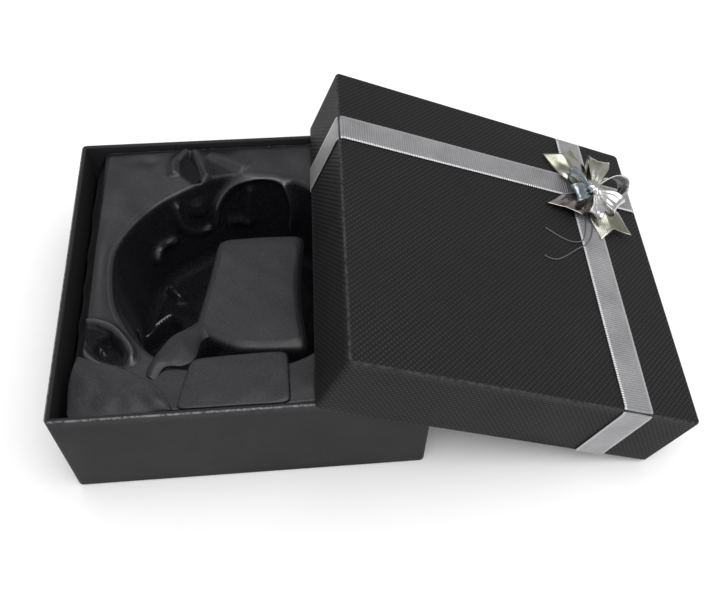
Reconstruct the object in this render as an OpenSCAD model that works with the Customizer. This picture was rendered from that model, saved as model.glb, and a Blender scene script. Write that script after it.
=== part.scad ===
// Jewelry gift box: a square paper-wrapped tray with a satin bangle insert, and its
// ribboned lid leaning on it, one edge across the tray's rim and one on the table.
// Millimetres. Origin at the middle of the tray's underside, +X towards the leaning lid,
// +Y towards the back, +Z up.

/* [Tray] */
// Outer width of the tray, left to right
box_w = 90; // [72:1:130]
// Outer depth of the tray, front to back
box_d = 90; // [72:1:130]
// Outer height of the tray
tray_h = 33.8; // [26:0.1:48]
// Outer radius of the upright corners
corner_r = 1.3; // [1.25:0.05:3]
// Depth of wrapping paper turned in over the tray's rim
tray_turn_in = 14; // [6:1:20]
// Width of wrapping paper turned under the tray
turn_under = 8; // [5:1:15]

/* [Board and paper] */
// Thickness of the grey board
board_t = 0.9; // [0.6:0.1:2]
// Thickness of the wrapping paper
paper_t = 0.15; // [0.1:0.05:0.3]
// Thickness of the glue line, which is also that of the corner stays
glue_t = 0.1; // [0.05:0.05:0.2]
// Length of each leg of a corner stay
stay_leg = 10; // [5:1:16]
// Distance of a corner stay's ends from the top and the underside of the box's corner
stay_gap = 1.2; // [0.5:0.1:3]
// Margin of the sheet glued on the underside, from the tray's sides
base_sheet_margin = 1.5; // [1:0.5:5]

/* [Lid] */
// Gap between the lid's skirt and the tray's wall, on each side
lid_clear = 0.7; // [0.5:0.05:1.5]
// Outer height of the lid
lid_h = 21.5; // [12:0.5:30]
// Depth of wrapping paper turned in under the lid's rim
lid_turn_in = 12; // [6:1:18]
// How far the leaning lid reaches in over the tray, to the inside of its left skirt
lid_reach = 25.2; // [18:0.2:30]
// Closest that the leaning lid's skirts come to the tray's walls
side_gap = 0.12; // [0.05:0.01:0.2]
// Clearance where the leaning lid rests
rest_gap = 0.05; // [0.02:0.01:0.2]

/* [Ribbon] */
// Width of both grosgrain ribbons
ribbon_w = 8.4; // [5:0.2:12]
// Thickness of the grosgrain ribbon
ribbon_t = 0.25; // [0.15:0.05:0.5]
// Distance of the long ribbon's middle from the lid's back
long_ribbon_in = 20.8; // [12:0.2:30]
// Slant of the long ribbon across the lid, in degrees
long_ribbon_slant = 1.2; // [0:0.1:3]
// Distance of the cross ribbon's middle from the lid's right side
cross_ribbon_in = 18.8; // [12:0.2:30]
// Length of ribbon turned up inside the skirt
ribbon_hem = 8; // [4:1:12]

/* [Bow] */
// Distance of the bow's knot to the right of the cross ribbon's middle
bow_right = 2; // [0:0.2:4]
// Distance of the bow's knot in front of the long ribbon's middle
bow_front = 0.6; // [0:0.2:4]
// Width of the foil ribbon that the bow is tied from
foil_w = 6.4; // [4:0.2:8]
// Thickness of the foil ribbon
foil_t = 0.4; // [0.3:0.1:0.6]
// Length of each loop from the knot's side
loop_l = 11.5; // [8:0.5:14]
// Height of each loop
loop_h = 5.2; // [3.5:0.1:7]
// Length of each tail from the knot's middle
tail_l = 16.5; // [12:0.5:20]
// Radius of the knot
knot_r = 2.4; // [1.6:0.1:3]
// Height of the knot above the loops' base
knot_h = 3.6; // [2:0.1:5]
// Radius of the drop of glue that holds the bow
glue_dot_r = 2.2; // [1.5:0.1:3]
// Height of the drop of glue
glue_dot_h = 0.55; // [0.3:0.05:1]
// Thickness of the binding thread's free ends
thread_d = 0.3; // [0.3:0.05:0.5]

/* [Insert] */
// Depth of the satin ledge below the tray's rim
ledge_drop = 1.8; // [1.5:0.1:6]
// Gap between the satin's side drapes and the tray's walls
drape_gap = 5.2; // [1:0.1:8]
// Gap between the platform's ends and the tray's walls
platform_fit = 0.3; // [0.1:0.1:1]
// Thickness of the platform's card
card_t = 1; // [0.6:0.1:1.5]
// Radius of the notch in the platform's card that the satin's pocket sinks into
pocket_r = 4.6; // [3:0.1:5]
// Distance of the pocket's middle from the platform's left side
pocket_in = 6; // [5:0.1:8]
// Distance of the pocket's middle from the platform's front edge
pocket_front = 19.4; // [18:0.1:24]
// Thickness of the satin as it lies on the platform
satin_t = 0.5; // [0.3:0.1:1]
// Narrowest part of the platform between the round well and a side or the back
well_ledge = 3.5; // [2:0.1:6]
// Distance of the well's front from the platform's front edge
well_front = 7.9; // [6:0.1:10]
// Thickness of the gathered satin down the side of the well
pouch_t = 1.6; // [1:0.1:2.5]
// Thickness of the gathered satin on the floor of the well
pouch_floor_t = 1.2; // [0.8:0.1:2]
// Height of the satin's side drapes
drape_h = 20; // [8:1:26]

/* [Strap and tongue] */
// Width of the front strap
strap_w = 24.6; // [18:0.2:28]
// Distance of the strap's middle to the left of the tray's middle
strap_x = 1.2; // [0:0.2:4]
// Depth of the front strap, front to back
strap_d = 15; // [11:0.5:18]
// Thickness of the card inside the strap
strap_card_t = 0.6; // [0.4:0.1:1]
// Thickness of the satin round the strap
strap_satin_t = 0.3; // [0.2:0.1:0.4]
// Length of the tongue from its fold
tongue_l = 36; // [28:0.5:40]
// Width of the tongue at its fold
tongue_w = 27.6; // [20:0.2:30]
// Extra width of the tongue at its free end, on the right
tongue_flare = 1.2; // [0:0.1:2]
// How far the tongue's left edge slopes in towards its free end
tongue_taper = 2.6; // [0:0.1:6]
// Thickness of the padded tongue
tongue_t = 4.6; // [3.6:0.1:6]
// Distance of the tongue's middle, at its fold, to the right of the tray's middle
tongue_x = 2.3; // [0:0.1:3]
// Depth of the tongue's top below the satin ledge
tongue_drop = 0.1; // [0:0.1:4]
// Gap between the strap's edge and the tongue's rounded fold
fold_gap = 0.6; // [0.4:0.1:2]
// Thickness of the satin round the tongue
tongue_satin_t = 0.4; // [0.3:0.1:0.8]
// Thickness of the card inside the tongue
tongue_card_t = 0.8; // [0.5:0.1:1.2]
// Cut across the corners at the tongue's free end
tongue_corner = 3; // [1:0.5:6]

/* [Hidden] */
$fn = 48;
eps = 0.01;                                   // overlap that lets a cut pass a face

// Walls: paper, glue, board, and the paper turned in
wall_t = paper_t + glue_t + board_t + paper_t;
board_out = paper_t + glue_t;                 // from the outside to the board
floor_z = 2 * paper_t + glue_t + board_t;     // inside floor of the tray

// Lid: made to the tray with its clearance
lid_w = box_w + 2 * (lid_clear + wall_t);
lid_d = box_d + 2 * (lid_clear + wall_t);

// Leaning lid: the inside of its left skirt lies across the tray's rim, and its right
// skirt stands on the table with the ribbon under it. It is turned until it nearly
// touches the tray at the front left and the back right.
half_in_w = lid_w / 2 - wall_t;
half_in_d = lid_d / 2 - wall_t;
lid_tilt = asin((tray_h - ribbon_t) / (lid_w - wall_t));
lid_turn = -asin((2 * lid_clear - 3 * side_gap) / lid_reach);
lid_x = box_w / 2 - lid_reach + half_in_w * cos(lid_tilt) * cos(lid_turn);
lid_y = -box_d / 2 - side_gap + half_in_w * cos(lid_tilt) * sin(lid_turn) + half_in_d * cos(lid_turn);
ribbon_out = glue_t + ribbon_t;               // how far a ribbon stands out from a skirt
lid_z = rest_gap + ribbon_t * cos(lid_tilt) + (lid_w / 2 + ribbon_out) * sin(lid_tilt);

// Ribbons and bow: kept at their distances from the lid's right side and its back
cross_ribbon_x = lid_w / 2 - cross_ribbon_in;
long_ribbon_y = lid_d / 2 - long_ribbon_in;
bow_x = cross_ribbon_x + bow_right;
bow_y = long_ribbon_y - bow_front;

// Bow: stacked on the crossing of the two ribbons
ribbon_gap = 0.05;                            // between one ribbon and the next
ribbon_z = lid_h + glue_t;                    // underside of a ribbon on the lid's top
bridge_z = ribbon_z + ribbon_t + ribbon_gap;  // underside of the long ribbon at the crossing
glue_dot_z = bridge_z + ribbon_t;
tails_z = glue_dot_z + glue_dot_h;
loops_z = tails_z + foil_t;
knot_z = loops_z + foil_t;
loop_start = knot_r + 0.1;                    // inner end of a loop
loop_angles = [20, 62, -36, -98];             // seen from above, from +X
loop_rises = [7, 16, 11, 21];                 // how steeply each loop rises outwards
loop_sink = 0.2;                              // joins the loops' feet to the middle
hub_r = loop_start + 1.5;                     // folded middle that the loops grow from
knot_gap = 0.05;                              // between the knot and the loops round it
tail_angles = [140, 214, -66];
notch = 2.6;                                  // depth of the cut in a tail's end

// Insert: everything hangs from the ledge's height
ledge_z = tray_h - ledge_drop;                // top of the satin
platform_z = ledge_z - satin_t;               // top of the platform's card
platform_d = box_d - 2 * (wall_t + platform_fit);
platform_w = box_w - 2 * (wall_t + drape_gap + satin_t);
well_r = min(platform_w / 2 - well_ledge, (platform_d - well_front - well_ledge) / 2);
well_y = -platform_d / 2 + well_front + well_r;
hole_r = well_r + 0.2;                        // hole in the card, round the satin
strap_back_y = -platform_d / 2 + strap_d;
strap_h = strap_card_t + 2 * strap_satin_t;

// Tongue: it turns about the middle of its rounded fold
fold_y = strap_back_y + fold_gap + tongue_t / 2;
fold_z = ledge_z - tongue_drop - tongue_t / 2;

// Free ends of the binding thread, from the drop of glue outwards: their points are
// measured from the bow's middle, and from the lid's top
left_end_route = [
    [-0.8, -2.3, 0.9], [-1.4, -4.6, 0.9], [-2.2, -7.6, 0.6], [-3.0, -11.0, 0.55],
    [-3.8, -14.4, 0.55], [-4.8, -17.6, 0.55], [-6.4, -20.0, 0.6], [-8.8, -21.0, 0.4],
    [-11.6, -20.7, 0.2], [-14.6, -19.6, 0.2], [-17.6, -18.2, 0.25]
];
front_end_route = [
    [0.8, -2.3, 0.9], [0.4, -4.8, 0.9], [-0.2, -8.4, 0.6], [-1.0, -12.2, 0.55],
    [-2.0, -15.8, 0.55], [-3.6, -19.0, 0.55], [-5.8, -21.4, 0.6], [-8.6, -23.4, 0.4],
    [-11.4, -25.6, 0.2], [-14.0, -27.6, 0.2], [-16.2, -28.8, 0.2], [-18.2, -29.0, 0.2],
    [-20.0, -28.4, 0.25]
];
thread_sides = 8;
thread_steps = 3;                             // rings for each stretch between two points

// ---- shapes that repeat ----

// Upright block with rounded corners, exact arcs
module block(w, d, h, r) {
    linear_extrude(h) {
        square([w - 2 * r, d], center = true);
        square([w, d - 2 * r], center = true);
        for (sx = [-1, 1], sy = [-1, 1]) {
            translate([sx * (w / 2 - r), sy * (d / 2 - r)]) circle(r);
        }
    }
}

// The block that is left when its sides are moved in by an inset
module inner_block(w, d, h, inset) {
    block(w - 2 * inset, d - 2 * inset, h, max(corner_r - inset, 0.05));
}

// Folded board with four walls: open upwards, its floor at z = 0
module board_tray(w, d, h) {
    difference() {
        inner_block(w, d, h, board_out);
        translate([0, 0, board_t]) inner_block(w, d, h, board_out + board_t);
    }
}

// Strips that bind the four corners of a board tray, outside the board
module corner_stays(w, d, h) {
    translate([0, 0, stay_gap]) intersection() {
        difference() {
            inner_block(w, d, h - 2 * stay_gap, paper_t);
            translate([0, 0, -eps]) inner_block(w, d, h, paper_t + glue_t);
        }
        for (sx = [-1, 1], sy = [-1, 1]) {
            translate([sx * w / 2, sy * d / 2, h / 2]) {
                cube([2 * stay_leg, 2 * stay_leg, h + 1], center = true);
            }
        }
    }
}

// Paper skin: outside, over the rim at z = h, and down the inside by its turn-in.
// Below the board it closes the whole face, or is a border turned under.
module paper_skin(w, d, h, turn_in, border) {
    difference() {
        block(w, d, h, corner_r);
        // room for the board and its glue
        translate([0, 0, paper_t]) difference() {
            inner_block(w, d, h - 2 * paper_t, paper_t);
            translate([0, 0, h - turn_in]) inner_block(w, d, turn_in, wall_t - paper_t);
        }
        // the hollow
        translate([0, 0, h - turn_in - eps]) inner_block(w, d, turn_in + 1, wall_t);
        // the opening in a border that is turned under
        if (border > 0) {
            translate([0, 0, -eps]) inner_block(w, d, paper_t + 2 * eps, border);
        }
    }
}

// From the lid's own frame, open side down at z = 0, to where it leans
module lean() {
    translate([lid_x, lid_y, lid_z]) rotate([0, 0, lid_turn]) rotate([0, lid_tilt, 0]) children();
}

// Turns a shape made like a tray over, to be a lid of height h
module turned_over(h) {
    translate([0, 0, h]) mirror([0, 0, 1]) children();
}

// Outline in X and Z of a ribbon laid over the lid and hemmed inside the skirts.
// It is raised over another ribbon between raise_from and raise_to.
module ribbon_outline(w, raise_from, raise_to) {
    out = w / 2 + glue_t;
    difference() {
        translate([-out - ribbon_t, -ribbon_t]) square([2 * (out + ribbon_t), ribbon_z + 2 * ribbon_t]);
        translate([-out, 0]) square([2 * out, ribbon_z]);
        translate([-w / 2 + wall_t + ribbon_t, -1]) square([w - 2 * (wall_t + ribbon_t), 2]);
    }
    for (side = [-1, 1]) {
        translate([side * (w / 2 - wall_t - ribbon_t / 2), ribbon_hem / 2 - ribbon_t / 2]) {
            square([ribbon_t, ribbon_hem + ribbon_t], center = true);
        }
    }
    if (raise_to > raise_from) {
        translate([raise_from, ribbon_z + ribbon_t - eps]) {
            square([raise_to - raise_from, ribbon_gap + ribbon_t + eps]);
        }
    }
}

// A ribbon that runs along X over a lid of width w, with its hems flat on the skirts
// however much it slants
module ribbon_band(w, slant, raise_from, raise_to) {
    reach = w / 2 + 1;
    rise = reach * tan(slant);
    half = ribbon_w / 2 / cos(slant);
    wide = ribbon_w + 2 * rise + 1;
    intersection() {
        difference() {
            rotate([90, 0, 0]) linear_extrude(wide, center = true) ribbon_outline(w, raise_from, raise_to);
            if (raise_to > raise_from) {
                translate([raise_from + ribbon_t, -wide, ribbon_z - 1]) {
                    cube([raise_to - raise_from - 2 * ribbon_t, 2 * wide, 1 + ribbon_t + ribbon_gap]);
                }
            }
        }
        translate([0, 0, -1]) linear_extrude(ribbon_z + 3) polygon([
            [-reach, -rise - half], [reach, rise - half], [reach, rise + half], [-reach, -rise + half]
        ]);
    }
}

// One loop of the bow, lying along +X from its foot at X = 0: a flat ring on its edge
module bow_loop() {
    r = loop_h / 2;
    rotate([90, 0, 0]) linear_extrude(foil_w, center = true) difference() {
        union() {
            translate([r, r]) circle(r);
            translate([loop_l - r, r]) circle(r);
            translate([r, 0]) square([loop_l - 2 * r, loop_h]);
        }
        translate([r, r]) circle(r - foil_t);
        translate([loop_l - r, r]) circle(r - foil_t);
        translate([r, foil_t]) square([loop_l - 2 * r, loop_h - 2 * foil_t]);
    }
}

// One tail of the bow along +X with a notched end
module bow_tail() {
    linear_extrude(foil_t) polygon([
        [0, -foil_w / 2], [tail_l, -foil_w / 2], [tail_l - notch, 0], [tail_l, foil_w / 2], [0, foil_w / 2]
    ]);
}

// The tongue's outline, from its fold, with its sides moved in by an inset
function tongue_points(inset) = let (
    left = tongue_x - tongue_w / 2 + inset,
    right = tongue_x + tongue_w / 2 - inset,
    far_left = left + tongue_taper,
    far_right = right + tongue_flare,
    far = fold_y + tongue_l - inset
) [
    [left, fold_y], [right, fold_y],
    [far_right, far - tongue_corner], [far_right - tongue_corner, far],
    [far_left + tongue_corner, far], [far_left, far - tongue_corner]
];

module tongue_slab(inset, low, high) {
    translate([0, 0, fold_z + low]) linear_extrude(high - low) polygon(tongue_points(inset));
}

// Point on a smooth curve through the points of a route, at stretch i and share t of it
function route_point(route, i, t) = let (
    last = len(route) - 1,
    a = route[max(i - 1, 0)], b = route[i], c = route[min(i + 1, last)], d = route[min(i + 2, last)]
) 0.5 * (2 * b + t * (c - a) + t * t * (2 * a - 5 * b + 4 * c - d) + t * t * t * (3 * b - a - 3 * c + d));

function swept_points(route) = concat(
    [for (i = [0:len(route) - 2], k = [0:thread_steps - 1]) route_point(route, i, k / thread_steps)],
    [route[len(route) - 1]]
);

// Ring of points round p, square to the direction of the route there
function ring(p, direction) = let (
    across = cross(direction, [0, 0, 1]) / norm(cross(direction, [0, 0, 1])),
    up = cross(across, direction) / norm(direction)
) [for (s = [0:thread_sides - 1]) let (angle = 360 * s / thread_sides)
    p + thread_d / 2 * (cos(angle) * across + sin(angle) * up)];

module thread_tube(route) {
    line = swept_points(route);
    n = len(line);
    rings = [for (i = [0:n - 1]) each ring(line[i], line[min(i + 1, n - 1)] - line[max(i - 1, 0)])];
    sides = [for (i = [0:n - 2], s = [0:thread_sides - 1])
        let (next = (s + 1) % thread_sides, low = i * thread_sides, high = (i + 1) * thread_sides)
        [low + s, low + next, high + next, high + s]];
    first_end = [for (s = [thread_sides - 1:-1:0]) s];
    last_end = [for (s = [0:thread_sides - 1]) (n - 1) * thread_sides + s];
    polyhedron(rings, concat(sides, [first_end, last_end]));
}

// ---- tray ----

module tray_board() {
    color("dimgray") translate([0, 0, 2 * paper_t + glue_t]) {
        board_tray(box_w, box_d, tray_h - floor_z + board_t - paper_t);
    }
}

module tray_corner_stays() {
    color("tan") corner_stays(box_w, box_d, tray_h);
}

module tray_wrap() {
    color([0.13, 0.13, 0.14]) translate([0, 0, paper_t]) {
        paper_skin(box_w, box_d, tray_h - paper_t, tray_turn_in, turn_under);
    }
}

module tray_base_sheet() {
    color([0.1, 0.1, 0.1]) inner_block(box_w, box_d, paper_t, base_sheet_margin);
}

// ---- insert ----

// Card folded into a low table, its two sides turned down to the floor
module platform_card() {
    leg_h = platform_z - floor_z - pouch_floor_t;
    color("black") translate([0, 0, platform_z]) mirror([0, 0, 1]) difference() {
        translate([-platform_w / 2, -platform_d / 2, 0]) cube([platform_w, platform_d, leg_h]);
        translate([-platform_w / 2 + card_t, -platform_d, card_t]) {
            cube([platform_w - 2 * card_t, 2 * platform_d, leg_h]);
        }
        translate([0, well_y, -1]) cylinder(h = card_t + 2, r = hole_r);
        translate([pocket_in - platform_w / 2, pocket_front - platform_d / 2, -1]) {
            cylinder(h = card_t + 2, r = pocket_r);
        }
    }
}

// One cloth: over the platform, down its sides, and pushed into the well as a pouch
module insert_satin() {
    color([0.09, 0.09, 0.1]) difference() {
        union() {
            translate([-platform_w / 2 - satin_t, -platform_d / 2, platform_z]) {
                cube([platform_w + 2 * satin_t, platform_d, satin_t]);
            }
            for (side = [-1, 1]) {
                translate([side * (platform_w + satin_t) / 2, 0, ledge_z - drape_h / 2]) {
                    cube([satin_t, platform_d, drape_h], center = true);
                }
            }
            translate([0, well_y, floor_z]) cylinder(h = ledge_z - floor_z, r = well_r);
        }
        translate([0, well_y, floor_z + pouch_floor_t]) cylinder(h = tray_h, r = well_r - pouch_t);
    }
}

module strap_card() {
    color("black") translate([-strap_x, strap_back_y - strap_d / 2, ledge_z + strap_h / 2]) {
        cube([strap_w - 2 * strap_satin_t, strap_d - 2 * strap_satin_t, strap_card_t], center = true);
    }
}

module strap_satin() {
    color([0.14, 0.14, 0.15]) difference() {
        translate([-strap_x, strap_back_y - strap_d / 2, ledge_z + strap_h / 2]) {
            cube([strap_w, strap_d, strap_h], center = true);
        }
        translate([-strap_x, strap_back_y - strap_d / 2, ledge_z + strap_h / 2]) {
            cube([strap_w - 2 * strap_satin_t, strap_d - 2 * strap_satin_t, strap_card_t], center = true);
        }
    }
}

// ---- tongue ----

module tongue_card() {
    low = -tongue_t / 2 + tongue_satin_t;
    color("black") tongue_slab(tongue_satin_t, low, low + tongue_card_t);
}

module tongue_foam() {
    low = -tongue_t / 2 + tongue_satin_t + tongue_card_t;
    color("gray") tongue_slab(tongue_satin_t, low, tongue_t / 2 - tongue_satin_t);
}

module tongue_satin() {
    inner = tongue_t / 2 - tongue_satin_t;
    color([0.12, 0.12, 0.13]) difference() {
        union() {
            tongue_slab(0, -tongue_t / 2, tongue_t / 2);
            translate([tongue_x, fold_y, fold_z]) rotate([0, 90, 0]) {
                cylinder(h = tongue_w, r = tongue_t / 2, center = true);
            }
        }
        tongue_slab(tongue_satin_t, -inner, inner);
    }
}

// ---- lid ----

module lid_board() {
    color("dimgray") lean() turned_over(lid_h - board_out) {
        board_tray(lid_w, lid_d, lid_h - board_out - paper_t);
    }
}

module lid_corner_stays() {
    color("tan") lean() corner_stays(lid_w, lid_d, lid_h);
}

module lid_wrap() {
    color([0.12, 0.12, 0.13]) lean() turned_over(lid_h) paper_skin(lid_w, lid_d, lid_h, lid_turn_in, 0);
}

// Runs left to right, over the cross ribbon
module long_ribbon() {
    middle = cross_ribbon_x;
    half = ribbon_w / 2 + 1;
    color("silver") lean() translate([0, long_ribbon_y, 0]) {
        ribbon_band(lid_w, long_ribbon_slant, middle - half, middle + half);
    }
}

// Runs front to back
module cross_ribbon() {
    color("silver") lean() translate([cross_ribbon_x, 0, 0]) rotate([0, 0, 90]) ribbon_band(lid_d, 0, 0, 0);
}

// ---- bow ----

module at_bow(z) {
    lean() translate([bow_x, bow_y, z]) children();
}

module bow_glue() {
    color("white") at_bow(glue_dot_z) cylinder(h = glue_dot_h, r = glue_dot_r);
}

module bow_tails() {
    color("lightgray") at_bow(tails_z) {
        for (angle = tail_angles) {
            rotate([0, 0, angle]) bow_tail();
        }
    }
}

module bow_loops() {
    color("lightgray") at_bow(loops_z) difference() {
        union() {
            cylinder(h = foil_t, r = hub_r);
            for (i = [0:len(loop_angles) - 1]) {
                rotate([0, 0, loop_angles[i]]) translate([loop_start, 0, -loop_sink]) {
                    rotate([0, -loop_rises[i], 0]) bow_loop();
                }
            }
        }
        translate([0, 0, foil_t]) cylinder(h = 2 * loop_h, r = knot_r + knot_gap);
    }
}

module bow_knot() {
    cap = 0.8;                                // rounding of the knot's top edge
    color("silver") at_bow(knot_z) rotate_extrude() {
        square([knot_r, knot_h - cap]);
        square([knot_r - cap, knot_h]);
        translate([knot_r - cap, knot_h - cap]) intersection() {
            circle(cap);
            square(cap);
        }
    }
}

module thread_end_left() {
    color("gray") at_bow(lid_h) thread_tube(left_end_route);
}

module thread_end_front() {
    color("gray") at_bow(lid_h) thread_tube(front_end_route);
}

tray_board();
tray_corner_stays();
tray_wrap();
tray_base_sheet();
platform_card();
insert_satin();
strap_card();
strap_satin();
tongue_card();
tongue_foam();
tongue_satin();
lid_board();
lid_corner_stays();
lid_wrap();
long_ribbon();
cross_ribbon();
bow_glue();
bow_tails();
bow_loops();
bow_knot();
thread_end_left();
thread_end_front();
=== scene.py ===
"""Looks of the jewelry gift box: papered tray, satin insert and the leaning, ribboned lid."""
import math
import bpy
import numpy as np
from mathutils import Matrix, Vector


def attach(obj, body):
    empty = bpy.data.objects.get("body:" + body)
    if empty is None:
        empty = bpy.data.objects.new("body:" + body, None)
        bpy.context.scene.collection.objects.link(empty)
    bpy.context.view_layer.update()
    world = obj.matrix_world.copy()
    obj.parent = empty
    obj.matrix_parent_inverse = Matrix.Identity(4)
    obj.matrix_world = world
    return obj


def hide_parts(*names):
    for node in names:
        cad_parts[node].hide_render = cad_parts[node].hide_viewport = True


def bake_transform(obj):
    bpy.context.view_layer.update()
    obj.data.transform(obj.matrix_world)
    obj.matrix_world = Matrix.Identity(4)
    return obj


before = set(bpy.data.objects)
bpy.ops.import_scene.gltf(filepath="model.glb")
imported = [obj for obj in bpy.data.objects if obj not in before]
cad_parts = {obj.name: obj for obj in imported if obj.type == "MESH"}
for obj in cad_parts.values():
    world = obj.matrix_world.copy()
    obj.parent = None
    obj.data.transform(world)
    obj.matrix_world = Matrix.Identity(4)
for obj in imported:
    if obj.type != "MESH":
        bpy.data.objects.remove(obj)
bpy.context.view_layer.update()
MM = 0.001

# ---- sizes in millimetres, the same as in the part's source ----
BOX_W = 90.0
BOX_D = 90.0
TRAY_H = 33.8
CORNER_R = 1.3
PAPER_T = 0.15
GLUE_T = 0.1
BOARD_T = 0.9
WALL_T = 2 * PAPER_T + GLUE_T + BOARD_T
TRAY_TURN_IN = 14.0
TURN_UNDER = 8.0
LID_CLEAR = 0.7
LID_H = 21.5
LID_TURN_IN = 12.0
LID_REACH = 25.2
SIDE_GAP = 0.12
REST_GAP = 0.05
LID_W = BOX_W + 2 * (LID_CLEAR + WALL_T)
LID_D = BOX_D + 2 * (LID_CLEAR + WALL_T)
RIBBON_W = 8.4
RIBBON_T = 0.25
RIBBON_GAP = 0.05
RIBBON_HEM = 8.0
RIBBON_Z = LID_H + GLUE_T
CROSS_X = LID_W / 2 - 18.8
LONG_Y = LID_D / 2 - 20.8
LONG_SLANT = math.radians(1.2)
BOW_X = CROSS_X + 2.0
BOW_Y = LONG_Y - 0.6
BOW_SHIFT = -1.4
LEDGE_Z = 32.0
CARD_TOP = 31.5
WELL_R = 32.9
POCKET_AT = (-32.0, -24.0)
POCKET_R = 4.6
WELL_Y = -1.0
PLATFORM_W = 76.0
PLATFORM_D = 86.8
THREAD_D = 0.3

HALF_IN = LID_W / 2 - WALL_T
TILT = math.asin((TRAY_H - RIBBON_T) / (LID_W - WALL_T))
TURN = -math.asin((2 * LID_CLEAR - 3 * SIDE_GAP) / LID_REACH)
LID_AT = Vector((
    BOX_W / 2 - LID_REACH + HALF_IN * math.cos(TILT) * math.cos(TURN),
    -BOX_D / 2 - SIDE_GAP + HALF_IN * math.cos(TILT) * math.sin(TURN) + HALF_IN * math.cos(TURN),
    REST_GAP + RIBBON_T * math.cos(TILT) + (LID_W / 2 + GLUE_T + RIBBON_T) * math.sin(TILT),
))
LEAN = Matrix.Translation(LID_AT) @ Matrix.Rotation(TURN, 4, "Z") @ Matrix.Rotation(TILT, 4, "Y")

# ---- camera ----
CAMERA_AT = Vector((14.899, -141.824, 207.196))
CAMERA_RIGHT = Vector((0.99581, -0.08884, 0.02164))
CAMERA_UP = Vector((0.05954, 0.80969, 0.58383))
CAMERA_LENS = 42.559
SENSOR = 36.0

scene = bpy.context.scene
camera_data = bpy.data.cameras.new("camera")
camera_data.sensor_width = SENSOR
camera_data.lens = CAMERA_LENS
camera_data.clip_start = 0.01
camera = bpy.data.objects.new("camera", camera_data)
scene.collection.objects.link(camera)
back = CAMERA_RIGHT.cross(CAMERA_UP).normalized()
camera_axes = Matrix((CAMERA_RIGHT, CAMERA_UP, back)).transposed().to_4x4()
camera.matrix_world = Matrix.Translation(CAMERA_AT * MM) @ camera_axes
scene.camera = camera
scene.view_settings.view_transform = "Standard"
scene.view_settings.look = "None"


# ---- making things ----
def make(name, points, faces, material, place=None, uv=None):
    """A mesh piece from points in millimetres, which place puts into the row frame."""
    mesh = bpy.data.meshes.new(name)
    at = np.asarray(points, float)
    if place is not None:
        turn = np.array(place)
        at = at @ turn[:3, :3].T + turn[:3, 3]
    mesh.from_pydata((at * MM).tolist(), [], faces)
    if uv is not None:
        layer = mesh.uv_layers.new(name="lay")
        corners = np.zeros(len(mesh.loops), int)
        mesh.loops.foreach_get("vertex_index", corners)
        layer.data.foreach_set("uv", uv(np.asarray(points, float), mesh, corners).ravel())
    mesh.polygons.foreach_set("use_smooth", [True] * len(mesh.polygons))
    mesh.materials.append(material)
    mesh.update()
    piece = bpy.data.objects.new(name, mesh)
    scene.collection.objects.link(piece)
    return piece


UV_MM = 0.01


def box_uv(points, mesh, corners):
    """UVs laid flat on each side of a box, in units of 100 mm."""
    result = np.zeros((len(corners), 2))
    for face in mesh.polygons:
        loops = list(face.loop_indices)
        own = points[corners[loops]]
        across = np.cross(own[1] - own[0], own[-1] - own[0])
        if len(loops) > 3:
            across = np.cross(own[2] - own[0], own[3] - own[1])
        side = int(np.argmax(np.abs(across)))
        keep = {0: (1, 2), 1: (0, 2), 2: (0, 1)}[side]
        result[loops] = own[:, keep] * UV_MM
    return result


def given_uv(table):
    """UVs that were worked out with the points."""
    def pick(points, mesh, corners):
        return np.asarray(table)[corners] * UV_MM
    return pick


def grid_faces(rows, columns, closed_rows=False, closed_columns=False):
    faces = []
    for i in range(rows if closed_rows else rows - 1):
        for j in range(columns if closed_columns else columns - 1):
            a = i * columns + j
            b = i * columns + (j + 1) % columns
            c = ((i + 1) % rows) * columns + (j + 1) % columns
            d = ((i + 1) % rows) * columns + j
            faces.append((a, b, c, d))
    return faces


def thicken(piece, thickness, offset=-1.0):
    """Gives a single-layer piece its thickness in millimetres."""
    change = piece.modifiers.new("thickness", "SOLIDIFY")
    change.thickness = thickness * MM
    change.offset = offset
    apply_modifiers(piece)


def subdivide(piece, levels):
    change = piece.modifiers.new("smooth", "SUBSURF")
    change.levels = levels
    change.render_levels = levels
    apply_modifiers(piece)


def apply_modifiers(piece):
    graph = bpy.context.evaluated_depsgraph_get()
    graph.update()
    made = bpy.data.meshes.new_from_object(piece.evaluated_get(graph))
    piece.modifiers.clear()
    piece.data = made


def swell(x, y, size, phase):
    """Smooth irregular waves between about -1 and 1, of a given size in millimetres."""
    total = np.zeros(np.broadcast(x, y).shape)
    for k in range(5):
        angle = phase + 2.4 * k
        stretch = size * (0.7 + 0.17 * k)
        along = x * math.cos(angle) + y * math.sin(angle)
        total = total + np.sin(2 * math.pi * along / stretch + 1.7 * phase * (k + 1))
    return total / 3.2


def smooth_step(t):
    t = np.clip(t, 0, 1)
    return t * t * (3 - 2 * t)


def spline(points, steps):
    """A smooth open curve through points."""
    p = np.asarray(points, float)
    result = []
    last = len(p) - 1
    for i in range(last):
        a, b, c, d = p[max(i - 1, 0)], p[i], p[i + 1], p[min(i + 2, last)]
        for k in range(steps):
            t = k / steps
            result.append(0.5 * (2 * b + t * (c - a) + t * t * (2 * a - 5 * b + 4 * c - d)
                                 + t ** 3 * (3 * b - a - 3 * c + d)))
    result.append(p[last])
    return np.array(result)


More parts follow.
